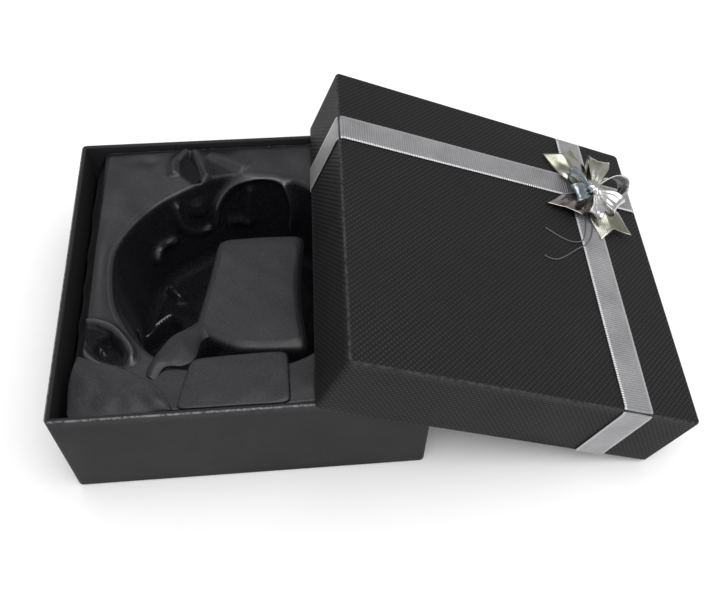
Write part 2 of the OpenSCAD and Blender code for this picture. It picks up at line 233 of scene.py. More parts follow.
def distance_to(line, points):
    """Shortest distance from each point to a polyline, and the share of its length there."""
    best = np.full(len(points), 1e9)
    share = np.zeros(len(points))
    lengths = np.linalg.norm(np.diff(line, axis=0), axis=1)
    total = lengths.sum()
    before = 0.0
    for a, b, length in zip(line[:-1], line[1:], lengths):
        d = b - a
        t = np.clip((points - a) @ d / max(d @ d, 1e-12), 0, 1)
        gap = np.linalg.norm(points - a - t[:, None] * d, axis=1)
        closer = gap < best
        best[closer] = gap[closer]
        share[closer] = (before + t[closer] * length) / total
        before += length
    return best, share


def inside(outline, points):
    """True for the points that lie inside a closed outline."""
    x, y = points[:, 0], points[:, 1]
    found = np.zeros(len(points), bool)
    for (ax, ay), (bx, by) in zip(outline, np.roll(outline, -1, axis=0)):
        crosses = (ay > y) != (by > y)
        at = (bx - ax) * (y - ay) / (by - ay + 1e-12) + ax
        found ^= crosses & (x < at)
    return found


# ---- materials ----
NOISE_ROUGHNESS = 0.55


class Surface:
    """A Principled material with a few helpers for its nodes."""

    def __init__(self, name, colour, roughness, **sockets):
        self.material = bpy.data.materials.new(name)
        self.material.use_nodes = True
        self.nodes = self.material.node_tree.nodes
        self.links = self.material.node_tree.links
        self.shader = self.nodes["Principled BSDF"]
        self.shader.inputs["Base Color"].default_value = (*colour, 1)
        self.shader.inputs["Roughness"].default_value = roughness
        for socket, value in sockets.items():
            self.shader.inputs[socket.replace("_", " ")].default_value = value
        self.normal = None

    def node(self, kind, **settings):
        made = self.nodes.new(kind)
        for key, value in settings.items():
            setattr(made, key, value)
        return made

    def link(self, a, b):
        self.links.new(a, b)

    def place(self, output="Object", scale=(1, 1, 1), turn=0.0):
        coordinates = self.node("ShaderNodeTexCoord")
        mapping = self.node("ShaderNodeMapping")
        mapping.inputs["Scale"].default_value = scale
        mapping.inputs["Rotation"].default_value = (0, 0, turn)
        self.link(coordinates.outputs[output], mapping.inputs["Vector"])
        return mapping.outputs["Vector"]

    def noise(self, vector, scale, detail=3.0):
        made = self.node("ShaderNodeTexNoise")
        made.inputs["Scale"].default_value = scale
        made.inputs["Detail"].default_value = detail
        made.inputs["Roughness"].default_value = NOISE_ROUGHNESS
        self.link(vector, made.inputs["Vector"])
        return made.outputs["Fac"]

    def math(self, operation, a, b=None, c=None):
        made = self.node("ShaderNodeMath", operation=operation)
        for socket, value in zip(made.inputs, (a, b, c)):
            if value is None:
                continue
            if isinstance(value, (int, float)):
                socket.default_value = value
            else:
                self.link(value, socket)
        return made.outputs[0]

    def spread(self, value, low, high, out_low, out_high):
        made = self.node("ShaderNodeMapRange")
        made.inputs["From Min"].default_value = low
        made.inputs["From Max"].default_value = high
        made.inputs["To Min"].default_value = out_low
        made.inputs["To Max"].default_value = out_high
        self.link(value, made.inputs["Value"])
        return made.outputs["Result"]

    def colours(self, value, *stops):
        ramp = self.node("ShaderNodeValToRGB")
        elements = ramp.color_ramp.elements
        while len(elements) < len(stops):
            elements.new(0.5)
        for element, (at, colour) in zip(elements, stops):
            element.position = at
            element.color = (*colour, 1)
        self.link(value, ramp.inputs["Fac"])
        return ramp.outputs["Color"]

    def mix(self, share, a, b):
        made = self.node("ShaderNodeMix", data_type="RGBA")
        for socket, value in ((made.inputs[0], share), (made.inputs[6], a), (made.inputs[7], b)):
            if isinstance(value, tuple):
                socket.default_value = (*value, 1)
            elif isinstance(value, (int, float)):
                socket.default_value = value
            else:
                self.link(value, socket)
        return made.outputs[2]

    def bump(self, height, distance, strength=1.0):
        made = self.node("ShaderNodeBump")
        made.inputs["Strength"].default_value = strength
        made.inputs["Distance"].default_value = distance * MM
        self.link(height, made.inputs["Height"])
        if self.normal is not None:
            self.link(self.normal, made.inputs["Normal"])
        self.normal = made.outputs["Normal"]
        self.link(self.normal, self.shader.inputs["Normal"])

    def colour(self, value):
        self.link(value, self.shader.inputs["Base Color"])

    def roughness(self, value):
        self.link(value, self.shader.inputs["Roughness"])


DOT_PITCH = 1.04
RIB_PITCH = 0.68
PAPER_SHINE = 0.13
SATIN_SHINE = 0.42


def paper_surface(name, dot_bump, dot_light, base, light, rim=0.0):
    """Black wrapping paper with an embossed lattice of dots, their tops painted lighter as a painted
    highlight, rubbed lighter on its edges.
    """
    s = Surface(name, base, 0.5, Specular_IOR_Level=PAPER_SHINE)
    uv = s.place("UV", turn=math.radians(45))
    parts = s.node("ShaderNodeSeparateXYZ")
    s.link(uv, parts.inputs[0])
    turns = 2 * math.pi / (DOT_PITCH * UV_MM)
    waves = []
    for axis in (0, 1):
        wave = s.math("COSINE", s.math("MULTIPLY", parts.outputs[axis], turns))
        waves.append(s.math("MULTIPLY_ADD", wave, 0.5, 0.5))
    dots = s.math("MULTIPLY", waves[0], waves[1])
    patches = s.noise(s.place(), 45.0, 4.0)
    grain = s.noise(s.place(), 2600.0, 2.0)
    # painted highlight: the dot tops are painted lighter, more strongly in random patches
    wear_and_highlight = s.math("MULTIPLY", dots, s.spread(patches, 0.3, 0.7, 0.5, 1.1))
    tint = s.mix(s.math("MULTIPLY", wear_and_highlight, dot_light), base, light)
    mottled = s.mix(s.spread(grain, 0.35, 0.7, 0.0, 0.35), tint, tuple(c * 0.45 for c in base))
    if rim:
        edge = s.node("ShaderNodeAttribute", attribute_name="rim")
        scuffs = s.spread(s.noise(s.place(), 1100.0, 4.0), 0.36, 0.60, 0.15, 1.0)
        rubbed = s.math("MULTIPLY", edge.outputs["Fac"], scuffs)
        mottled = s.mix(rubbed, mottled, (rim, rim, rim * 1.04))
    s.colour(mottled)
    s.roughness(s.spread(patches, 0.3, 0.7, 0.52, 0.64))
    s.bump(dots, dot_bump)
    s.bump(grain, 0.02, 0.5)
    return s.material


def satin_surface(name, base, light, roughness, painted_shine=False):
    """Black satin: fine floats and small puckers; where painted_shine is set, its painted value scales the
    shine as painted highlights and painted shade.
    """
    s = Surface(name, base, roughness, Sheen_Weight=0.03, Sheen_Roughness=0.35,
                Specular_IOR_Level=SATIN_SHINE)
    floats = s.noise(s.place(scale=(1.0, 4.0, 1.0)), 1500.0, 2.0)
    specks = s.noise(s.place(), 3200.0, 1.0)
    puckers = s.noise(s.place(), 130.0, 3.0)
    s.colour(s.mix(s.spread(specks, 0.4, 0.75, 0.0, 1.0), base, light))
    s.roughness(s.spread(puckers, 0.3, 0.7, roughness - 0.05, roughness + 0.07))
    if painted_shine:
        # the attribute read here is painted shine: painted highlights and painted shade that scale the
        # specular level
        smooth = s.node("ShaderNodeAttribute", attribute_name="painted_shine")
        s.link(s.math("MULTIPLY", smooth.outputs["Fac"], SATIN_SHINE), s.shader.inputs["Specular IOR Level"])
    s.bump(puckers, 0.10, 0.5)
    s.bump(floats, 0.03, 0.6)
    return s.material


def grosgrain_surface():
    """Silver-grey grosgrain: cross ribs, brighter selvedges."""
    s = Surface("grosgrain", (0.4, 0.4, 0.41), 0.42, Sheen_Weight=0.05, Metallic=0.9)
    parts = s.node("ShaderNodeSeparateXYZ")
    s.link(s.place("UV"), parts.inputs[0])
    rib = s.math("COSINE", s.math("MULTIPLY", parts.outputs[0], 2 * math.pi / (RIB_PITCH * UV_MM)))
    rib = s.math("MULTIPLY_ADD", rib, 0.5, 0.5)
    across = s.math("ABSOLUTE", parts.outputs[1])
    selvedge = s.spread(across, 0.80 * RIBBON_W / 2 * UV_MM, 0.9 * RIBBON_W / 2 * UV_MM, 0.0, 1.0)
    threads = s.noise(s.place("UV", scale=(1.0, 9.0, 1.0)), 900.0, 2.0)
    raised = s.math("MULTIPLY", rib, s.spread(threads, 0.3, 0.7, 0.3, 0.9))
    tint = s.mix(raised, (0.26, 0.26, 0.27), (0.46, 0.46, 0.47))
    cloud = s.noise(s.place(), 120.0, 2.0)
    tint = s.mix(s.spread(cloud, 0.35, 0.7, 0.0, 0.4), tint, (0.52, 0.52, 0.53))
    s.colour(s.mix(s.math("MULTIPLY", selvedge, 0.75), tint, (0.62, 0.62, 0.64)))
    s.bump(rib, 0.12)
    s.bump(threads, 0.04, 0.6)
    return s.material


def foil_surface(name, low, middle, high):
    """Mirror-bright polyester ribbon whose tint drifts between three greys."""
    s = Surface(name, middle, 0.2, Metallic=1.0)
    cloud = s.noise(s.place(), 160.0, 2.0)
    s.colour(s.colours(cloud, (0.36, low), (0.5, middle), (0.64, high)))
    streaks = s.noise(s.place("UV", scale=(1.0, 14.0, 1.0)), 260.0, 2.0)
    s.roughness(s.spread(streaks, 0.3, 0.7, 0.10, 0.26))
    s.bump(cloud, 0.35, 0.4)
    s.bump(streaks, 0.03, 0.4)
    return s.material


def plain_surface(name, base, dark, roughness, scale, bump_mm):
    """Board, card, foam, glue and tape: mottled, with a fine tooth."""
    s = Surface(name, base, roughness)
    fibres = s.noise(s.place(scale=(1.0, 1.6, 1.0)), scale, 4.0)
    s.colour(s.mix(s.spread(fibres, 0.35, 0.7, 0.0, 1.0), base, dark))
    s.bump(fibres, bump_mm, 0.6)
    return s.material


PAPER = paper_surface("tray_paper", 0.02, 0.3, (0.023, 0.023, 0.025), (0.031, 0.031, 0.034), rim=0.20)
LID_PAPER = paper_surface("lid_paper", 0.10, 0.6, (0.010, 0.010, 0.0105), (0.052, 0.052, 0.054), rim=0.05)
SATIN = satin_surface("satin", (0.005, 0.005, 0.0065), (0.022, 0.022, 0.026), 0.42)
GATHERED_SATIN = satin_surface("gathered_satin", (0.004, 0.004, 0.0055), (0.02, 0.02, 0.024), 0.34,
                               painted_shine=True)
GROSGRAIN = grosgrain_surface()
FOIL = foil_surface("foil_silver", (0.46, 0.47, 0.47), (0.6, 0.6, 0.6), (0.74, 0.73, 0.72))
FOIL_OLIVE = foil_surface("foil_olive", (0.25, 0.25, 0.19), (0.36, 0.36, 0.29), (0.52, 0.51, 0.47))
FOIL_ROSE = foil_surface("foil_rose", (0.33, 0.28, 0.27), (0.42, 0.36, 0.35), (0.5, 0.47, 0.45))
FOIL_BLUE = foil_surface("foil_blue", (0.22, 0.27, 0.29), (0.36, 0.41, 0.43), (0.55, 0.6, 0.62))
BOARD = plain_surface("grey_board", (0.18, 0.17, 0.16), (0.11, 0.105, 0.1), 0.85, 900.0, 0.05)
CARD = plain_surface("black_card", (0.012, 0.012, 0.012), (0.022, 0.022, 0.022), 0.7, 1200.0, 0.03)
TAPE = plain_surface("kraft_tape", (0.30, 0.22, 0.13), (0.24, 0.17, 0.1), 0.6, 1400.0, 0.02)
FOAM = plain_surface("grey_foam", (0.16, 0.16, 0.165), (0.1, 0.1, 0.1), 0.95, 2400.0, 0.12)
BASE_PAPER = plain_surface("base_paper", (0.016, 0.016, 0.017), (0.028, 0.028, 0.03), 0.6, 1600.0, 0.03)
GLUE = plain_surface("glue", (0.62, 0.6, 0.55), (0.5, 0.48, 0.42), 0.25, 500.0, 0.05)
THREAD = plain_surface("thread", (0.13, 0.13, 0.14), (0.07, 0.07, 0.08), 0.4, 5000.0, 0.02)

CAD_MATERIALS = {
    "tray_board": BOARD, "lid_board": BOARD, "tray_corner_stays": TAPE, "lid_corner_stays": TAPE,
    "tray_base_sheet": BASE_PAPER, "platform_card": CARD, "bow_glue": GLUE,
}
for node_name, material in CAD_MATERIALS.items():
    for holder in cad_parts[node_name].material_slots:
        holder.material = material


# ---- cords: the binding thread's two free ends ----
def thread_piece(name, route):
    place = LEAN @ Matrix.Translation((BOW_X, BOW_Y, LID_H))
    line = [place @ Vector(p) * MM for p in spline(route, 6)]
    data = bpy.data.curves.new(name, "CURVE")
    data.dimensions = "3D"
    data.bevel_depth = THREAD_D / 2 * MM
    data.bevel_resolution = 3
    data.use_fill_caps = True
    strand = data.splines.new("POLY")
    strand.points.add(len(line) - 1)
    for point, at in zip(strand.points, line):
        point.co = (*at, 1)
    data.materials.append(THREAD)
    piece = bpy.data.objects.new(name, data)
    scene.collection.objects.link(piece)
    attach(piece, "lid")
    return piece


left_thread = thread_piece("thread_left", [
    (-0.8, -2.3, 0.9), (-1.4, -4.6, 0.9), (-2.2, -7.6, 0.6), (-3.0, -11.0, 0.55),
    (-3.8, -14.4, 0.55), (-4.8, -17.6, 0.55), (-6.4, -20.0, 0.6), (-8.8, -21.0, 0.4),
    (-11.6, -20.7, 0.2), (-14.6, -19.6, 0.2), (-17.6, -18.2, 0.25),
])
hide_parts("thread_end_left")
front_thread = thread_piece("thread_front", [
    (0.8, -2.3, 0.9), (0.4, -4.8, 0.9), (-0.2, -8.4, 0.6), (-1.0, -12.2, 0.55),
    (-2.0, -15.8, 0.55), (-3.6, -19.0, 0.55), (-5.8, -21.4, 0.6), (-8.6, -23.4, 0.4),
    (-11.4, -25.6, 0.2), (-14.0, -27.6, 0.2), (-16.2, -28.8, 0.2), (-18.2, -29.0, 0.2),
    (-20.0, -28.4, 0.25),
])
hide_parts("thread_end_front")


# ---- paper skins ----
CORNER_STEPS = 6
SIDE_STEPS = 26
ARC_STEPS = 5


def ring(w, d, inset, z):
    """Points round a rounded rectangle, the same number whatever its inset."""
    r = max(CORNER_R - inset, 0.06)
    half_w = w / 2 - inset
    half_d = d / 2 - inset
    points = []
    for sx, sy, start in ((1, 1, 0), (-1, 1, 90), (-1, -1, 180), (1, -1, 270)):
        for k in range(CORNER_STEPS + 1):
            a = math.radians(start + 90 * k / CORNER_STEPS)
            points.append((sx * (half_w - r) + r * math.cos(a), sy * (half_d - r) + r * math.sin(a), z))
        nx, ny = {0: (-1, 1), 90: (-1, -1), 180: (1, -1), 270: (1, 1)}[start]
        a = math.radians(start + 90)
        first = np.array((sx * (half_w - r) + r * math.cos(a), sy * (half_d - r) + r * math.sin(a)))
        last = np.array((nx * (half_w - r) + r * math.cos(a), ny * (half_d - r) + r * math.sin(a)))
        for k in range(1, SIDE_STEPS):
            at = first + (last - first) * k / SIDE_STEPS
            points.append((at[0], at[1], z))
    return points


def levels(low, high, count):
    return [low + (high - low) * k / count for k in range(count + 1)]


def arc(centre_inset, centre_z, r, start, stop):
    """Profile points (inset, z) on an arc; 0 degrees looks outwards, 90 upwards."""
    result = []
    for k in range(ARC_STEPS + 1):
        a = math.radians(start + (stop - start) * k / ARC_STEPS)
        result.append((centre_inset - r * math.cos(a), centre_z + r * math.sin(a)))
    return result


def skin(name, w, d, profile, material, place, sag, rim_z):
    """A shell swept round a box: profile is a closed loop of (inset, z)."""
    rows = [ring(w, d, inset, z) for inset, z in profile]
    points = np.array(rows).reshape(-1, 3)
    count = len(rows[0])
    outer = np.abs(np.abs(points[:, 0]) - w / 2) < 0.02
    outer_y = np.abs(np.abs(points[:, 1]) - d / 2) < 0.02
    ease = 1 - (2 * points[:, 1] / d) ** 2
    ease_x = 1 - (2 * points[:, 0] / w) ** 2
    hollow = ease * sag * (1 + swell(points[:, 1], points[:, 2], 41, 1.1)) / 2
    hollow_y = ease_x * sag * (1 + swell(points[:, 0], points[:, 2], 37, 2.3)) / 2
    points[:, 0] -= np.where(outer, np.sign(points[:, 0]) * hollow, 0)
    points[:, 1] -= np.where(outer_y, np.sign(points[:, 1]) * hollow_y, 0)
    faces = grid_faces(len(rows), count, closed_rows=True, closed_columns=True)
    piece = make(name, points, faces, material, place, box_uv)
    rim = piece.data.attributes.new("rim", "FLOAT", "POINT")
    wear_and_highlight = np.zeros(len(points))
    for z, reach in rim_z:
        wear_and_highlight = np.maximum(wear_and_highlight, np.exp(-((points[:, 2] - z) / reach) ** 2))
    side = np.minimum(w / 2 - np.abs(points[:, 0]), d / 2 - np.abs(points[:, 1]))
    rim.data.foreach_set("value", (wear_and_highlight * (side < 0.45)).astype(np.float32))
    return piece


# Insets of the paper's glued faces: outside, and turned in over the board
RIM_R = 0.5
OUTER_BACK = 0.22
INNER_BACK = 1.18
SAG = 0.12
tray_profile = [(WALL_T, z) for z in levels(TRAY_H - TRAY_TURN_IN, TRAY_H - RIM_R, 8)]
tray_profile += arc(WALL_T - RIM_R, TRAY_H - RIM_R, RIM_R, 180, 90)[1:]
tray_profile += arc(RIM_R, TRAY_H - RIM_R, RIM_R, 90, 0)
tray_profile += [(0, z) for z in levels(TRAY_H - RIM_R, 0.65, 12)[1:]]
tray_profile += arc(0.45, 0.6, 0.45, 0, -90)[1:]
tray_profile += [(inset, PAPER_T) for inset in (1.5, 4.0, TURN_UNDER)]
tray_profile += [(TURN_UNDER, 0.31), (0.6, 0.31)]
tray_profile += [(OUTER_BACK, z) for z in (0.6, 17.0, TRAY_H - 0.3)]
tray_profile += [(inset, TRAY_H - 0.14) for inset in (0.3, 1.1)]
tray_profile += [(INNER_BACK, TRAY_H - low) for low in (0.3, TRAY_TURN_IN)]
tray_skin = skin("tray_wrap_skin", BOX_W, BOX_D, tray_profile, PAPER, None, SAG,
                 [(TRAY_H - 0.12, 0.24)])
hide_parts("tray_wrap")
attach(tray_skin, "tray")

EDGE_R = 0.6
lid_profile = [(WALL_T, z) for z in levels(LID_TURN_IN, RIM_R, 6)]
lid_profile += arc(WALL_T - RIM_R, RIM_R, RIM_R, 180, 270)[1:]
lid_profile += arc(RIM_R, RIM_R, RIM_R, 270, 360)
lid_profile += [(0, z) for z in levels(RIM_R, LID_H - EDGE_R, 10)[1:]]
lid_profile += arc(EDGE_R, LID_H - EDGE_R, EDGE_R, 0, 90)[1:]
TOP_INSETS = [1.6, 3.0, 5.5, 9.0, 14.0, 20.0, 27.0, 35.0, 43.0, 46.2, 46.75, 46.9]
lid_profile += [(inset, LID_H) for inset in TOP_INSETS]
lid_profile += [(inset, LID_H - 0.16) for inset in reversed(TOP_INSETS)]
lid_profile += [(EDGE_R, LID_H - 0.16), (0.3, LID_H - 0.3)]
lid_profile += [(OUTER_BACK, z) for z in (LID_H - 0.6, 10.0, 0.3)]
lid_profile += [(0.3, 0.14), (1.1, 0.14), (INNER_BACK, 0.3), (INNER_BACK, LID_TURN_IN)]
lid_skin = skin("lid_wrap_skin", LID_W, LID_D, lid_profile, LID_PAPER, LEAN, SAG,
                [(LID_H - 0.25, 0.4), (0.1, 0.3)])
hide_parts("lid_wrap")
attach(lid_skin, "lid")


# ---- strips: ribbon bands, bow loops and tails ----
def strip(name, middle, side, up, half, thickness, material, place, across=12, crown=None):
    """A flat strip with rounded selvedges: middle, side and up have one row for each step."""
    middle, side, up = (np.asarray(a, float) for a in (middle, side, up))
    steps = len(middle)
    half = np.broadcast_to(half, (steps,))
    along = np.concatenate([[0], np.cumsum(np.linalg.norm(np.diff(middle, axis=0), axis=1))])
    t = np.linspace(-1, 1, across)
    rows = []
    uv = []
    for layer in (1, -1):
        order = t if layer == 1 else t[::-1]
        for i in range(steps):
            lift = thickness / 2 * layer * np.sqrt(np.clip(1 - np.abs(order) ** 6, 0.12, 1))
            if crown is not None:
                lift = lift + crown(i / (steps - 1), order)
            rows.append(middle[i] + side[i] * (half[i] * order)[:, None] + up[i] * lift[:, None])
            uv.append(np.stack([np.full(across, along[i]), half[i] * order], axis=1))
    top = np.array(rows[:steps])
    low = np.array(rows[steps:])
    loop = np.concatenate([top, low], axis=1)
    uvs = np.concatenate([np.array(uv[:steps]), np.array(uv[steps:])], axis=1)
    width = 2 * across
    faces = grid_faces(steps, width, closed_columns=True)
    for end, flip in ((0, False), (steps - 1, True)):
        for j in range(across - 1):
            first = end * width
            quad = (first + j, first + j + 1, first + width - 2 - j, first + width - 1 - j)
            faces.append(quad if flip else quad[::-1])
    return make(name, loop.reshape(-1, 3), faces, material, place, given_uv(uvs.reshape(-1, 2)))


def resample(points, step):
    points = np.asarray(points, float)
    along = np.concatenate([[0], np.cumsum(np.linalg.norm(np.diff(points, axis=0), axis=1))])
    count = max(int(along[-1] / step), 2)
    at = np.linspace(0, along[-1], count + 1)
    return np.stack([np.interp(at, along, points[:, k]) for k in range(points.shape[1])], axis=1)


BAND_STEP = 0.45
HEM_R = 0.45
SELVEDGE_WAVE = 1.35


def band_path(w, bridge):
    """Outline (x, z) of a ribbon's middle line over the lid, from one hem to the other."""
    out = w / 2 + GLUE_T + RIBBON_T / 2
    top = RIBBON_Z + RIBBON_T / 2
    inner = w / 2 - WALL_T - RIBBON_T / 2
    bend = 1.7
    left = [(-inner, RIBBON_HEM), (-inner, 0.6)]
    centre = -(inner + out) / 2
    reach = (out - inner) / 2
    for k in range(9):
        a = math.radians(180 * k / 8)
        left.append((centre + reach * math.cos(a), -RIBBON_T / 2 + HEM_R - HEM_R * math.sin(a)))
    left += [(-out, 1.2), (-out, top - bend)]
    for k in range(1, 7):
        a = math.radians(90 * k / 6)
        left.append((-out + bend - bend * math.cos(a), top - bend + bend * math.sin(a)))
    right = [(-x, z) for x, z in reversed(left)]
    line = resample(left + right, BAND_STEP)
    if bridge is not None:
        rise = RIBBON_T + RIBBON_GAP
        near = smooth_step((bridge[1] - np.abs(line[:, 0] - bridge[0])) / 1.6 + 0.5)
        line[:, 1] += rise * near * (line[:, 1] > top - 0.01)
    return line


def band(name, node_name, w, place, bridge, slant):
    line = band_path(w, bridge)
    middle = np.stack([line[:, 0], line[:, 0] * math.tan(slant), line[:, 1]], axis=1)
    ahead = np.gradient(middle, axis=0)
    ahead /= np.linalg.norm(ahead, axis=1)[:, None]
    side = np.tile([0.0, 1.0, 0.0], (len(line), 1))
    up = np.cross(ahead, side)
    up /= np.linalg.norm(up, axis=1)[:, None]
    along = np.arange(len(line)) * BAND_STEP
    scallop = 0.006 * np.sin(along * 2 * math.pi / SELVEDGE_WAVE)
    half = RIBBON_W / 2 * (1 + scallop + 0.006 * np.sin(along / 7.0))
    piece = strip(name, middle, side, up, half, RIBBON_T, GROSGRAIN, place)
    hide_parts(node_name)
    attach(piece, "lid")


band("long_ribbon_band", "long_ribbon", LID_W, LEAN @ Matrix.Translation((0, LONG_Y, 0)),
     (CROSS_X, RIBBON_W / 2 + 1), LONG_SLANT)
band("cross_ribbon_band", "cross_ribbon", LID_D,
     LEAN @ Matrix.Translation((CROSS_X, 0, 0)) @ Matrix.Rotation(math.pi / 2, 4, "Z"), None, 0.0)

FOIL_T = 0.14
BOW_Z = 22.7


def bow_place(heading, tumble=0.0, pivot=0.0):
    """Where a part of the bow sits, turned to its heading and tumbled about its length."""
    place = LEAN @ Matrix.Translation((BOW_X, BOW_Y + BOW_SHIFT, BOW_Z + pivot))
    place = place @ Matrix.Rotation(math.radians(heading), 4, "Z")
    place = place @ Matrix.Rotation(math.radians(tumble), 4, "X")
    return place @ Matrix.Translation((0, 0, -pivot))


def bow_loop(name, material, heading, length, height, rise, tumble, width):
    """A teardrop loop of foil that leaves the knot and comes back to it over the top."""
    shape = spline([
        (0.0, 0.5), (0.22, 0.08), (0.55, -0.02), (0.85, 0.12), (1.0, 0.45),
        (0.9, 0.85), (0.62, 1.0), (0.3, 0.86), (0.05, 0.62),
    ], 8)
    steps = len(shape)
    x = 0.6 + shape[:, 0] * (length - 0.6)
    z = shape[:, 1] * height
    z = z + x * math.tan(math.radians(rise))
    middle = np.stack([x, np.zeros(steps), z], axis=1)
    ahead = np.gradient(middle, axis=0)
    ahead /= np.linalg.norm(ahead, axis=1)[:, None]
    far = smooth_step(shape[:, 0] / 0.7)
    side = np.tile([0.0, 1.0, 0.0], (steps, 1))
    up = np.cross(ahead, side)
    half = width / 2 * (0.30 + 0.70 * far)

    def crown(share, t):
        pinch = 1 - abs(2 * share - 1)
        return (0.5 * (1 - t * t) - 0.2) * (0.35 + pinch) + 0.22 * (1 - pinch) * np.cos(9 * t)

    place = bow_place(heading, tumble, height / 2)
    return strip(name, middle, side, up, half, FOIL_T, material, place, across=17, crown=crown)


def bow_tail(name, material, heading, length, points_z, roll, width, cut, notch_mm):
    """A tail of foil from the knot; its end is cut on a slant, or notched, or both."""
    count = 34
    share = np.linspace(0, 1, count)
    z = np.interp(share, np.linspace(0, 1, len(points_z)), points_z)
    z = np.convolve(np.pad(z, 3, mode="edge"), np.ones(7) / 7, mode="valid")
    angle = math.radians(roll) * smooth_step(share * 1.4)
    half = width / 2 * (0.28 + 0.72 * smooth_step(share * 1.9))
    across = 21
    t = np.linspace(-1, 1, across)
    ending = smooth_step((share - 0.35) / 0.65)
    rows = []
    uv = []
    for i in range(count):
        fold = (0.9 * (1 - np.abs(t)) - 0.35) * (0.5 + 0.5 * share[i])
        gathers = 0.22 * (1 - share[i]) * np.cos(9 * t) + 0.16 * np.sin(3.1 * t + 5 * share[i] + heading)
        side = np.array([0, math.cos(angle[i]), math.sin(angle[i])])
        up = np.array([0, -math.sin(angle[i]), math.cos(angle[i])])
        row = np.array([share[i] * length, 0, z[i]]) + side * (half[i] * t)[:, None]
        row = row + up * (fold + gathers)[:, None]
        row[:, 0] -= ending[i] * (notch_mm * (1 - np.abs(t)) + abs(cut) * (1 + math.copysign(1, cut) * t) / 2)
        rows.append(row)
        uv.append(np.stack([np.full(across, share[i] * length), half[i] * t], axis=1))
    piece = make(name, np.array(rows).reshape(-1, 3), grid_faces(count, across), material, bow_place(heading),
                 given_uv(np.array(uv).reshape(-1, 2)))
    thicken(piece, FOIL_T, 0.0)
    return piece


def knot(name):
    """The folded middle of the bow, drawn in by the thread, with pleats along it."""
    rows = 26
    columns = 84
    points = []
    for i in range(rows):
        v = math.pi * i / (rows - 1)
        for j in range(columns):
            u = 2 * math.pi * j / columns
            pleat = 1 + 0.12 * math.cos(11 * u + 1.2 * math.sin(2 * v)) * math.sin(v) + 0.06 * math.sin(3 * u)
            waist = 1 - 0.18 * math.exp(-((v - 1.35) / 0.35) ** 2)
            r = 2.7 * pleat * waist * math.sin(v) ** 0.7
            points.append((r * math.cos(u) * 0.92, r * math.sin(u) * 1.15, 2.3 - 1.95 * math.cos(v)))
    faces = grid_faces(rows, columns, closed_columns=True)
    table = [(j * 0.3, i * 0.2) for i in range(rows) for j in range(columns)]
    return make(name, points, [f[::-1] for f in faces], FOIL, bow_place(25), given_uv(table))


# Name, material, heading, length, height, rise, tumble and width
BOW_LOOPS = [
    ("bow_loop_right", FOIL, 17, 11.4, 5.6, 4, -58, 5.0),
    ("bow_loop_back", FOIL_OLIVE, 72, 12.4, 3.8, 6, -10, 6.2),
    ("bow_loop_front_right", FOIL, -38, 8.8, 3.8, 7, 22, 5.8),
    ("bow_loop_front", FOIL, -104, 11.0, 3.4, 5, -12, 4.6),
    ("bow_loop_left", FOIL_BLUE, 158, 8.6, 2.8, 10, 8, 5.4),
    ("bow_loop_front_left", FOIL_BLUE, 206, 8.2, 2.6, 8, -14, 5.2),
]
for index, values in enumerate(BOW_LOOPS):
    piece = bow_loop(*values)
    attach(piece, "lid")
    if index == 0:
        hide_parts("bow_loops")
# Name, material, heading, length, heights along it, roll, width, slanted cut and notch
BOW_TAILS = [
    ("bow_tail_back_left", FOIL_OLIVE, 123, 17.6, (0.4, 0.9, 1.3, 1.1, 1.5), -12, 9.4, -2.6, 1.8),
    ("bow_tail_front_left", FOIL_ROSE, 220, 16.8, (0.3, 0.7, 0.8, 0.6, 0.8), 12, 8.8, 5.4, 0.0),
    ("bow_tail_front_right", FOIL_OLIVE, -71, 16.4, (0.3, 0.9, 1.2, 0.8, 0.7), 14, 9.8, -0.8, 2.4),
]
for index, values in enumerate(BOW_TAILS):
    piece = bow_tail(*values)
    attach(piece, "lid")
    if index == 0:
        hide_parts("bow_tails")
bow_middle = knot("bow_knot_folds")
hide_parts("bow_knot")
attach(bow_middle, "lid")


# ---- the insert's satin: one cloth over the platform and down into the well ----
COLUMNS = 520
DRAPE_ROWS = 12
LEDGE_ROWS = 44
WALL_ROWS = 24
FLOOR_ROWS = 34
FLOOR_R = 3.6
WELL_DEPTH = 28.0
WELL_LIMIT = 34.2
SATIN_T = 0.18
HALF_W = PLATFORM_W / 2 + 0.45
HALF_D = PLATFORM_D / 2 - 0.1
DRAPE_BOTTOM = 13.0
DRAPE_REACH = 43.45


def outer_edge(angle):
    """Where a ray from the well's middle meets the platform's outline."""
    dx, dy = np.cos(angle), np.sin(angle)
    to_x = np.where(dx > 0, HALF_W, -HALF_W) / np.where(np.abs(dx) < 1e-9, 1e-9, dx)
    to_y = (np.where(dy > 0, HALF_D, -HALF_D) - WELL_Y) / np.where(np.abs(dy) < 1e-9, 1e-9, dy)
    reach = np.minimum(np.abs(to_x), np.abs(to_y))
    on_side = np.abs(to_x) < np.abs(to_y)
    return reach, on_side


def bulge(points, line, width, height):
    """Height that a soft fold along a line adds to each point."""
    gap, share = distance_to(np.asarray(line, float), points)
    ends = smooth_step(share / 0.12) * smooth_step((1 - share) / 0.12)
    return height * np.exp(-(gap / width) ** 2) * ends


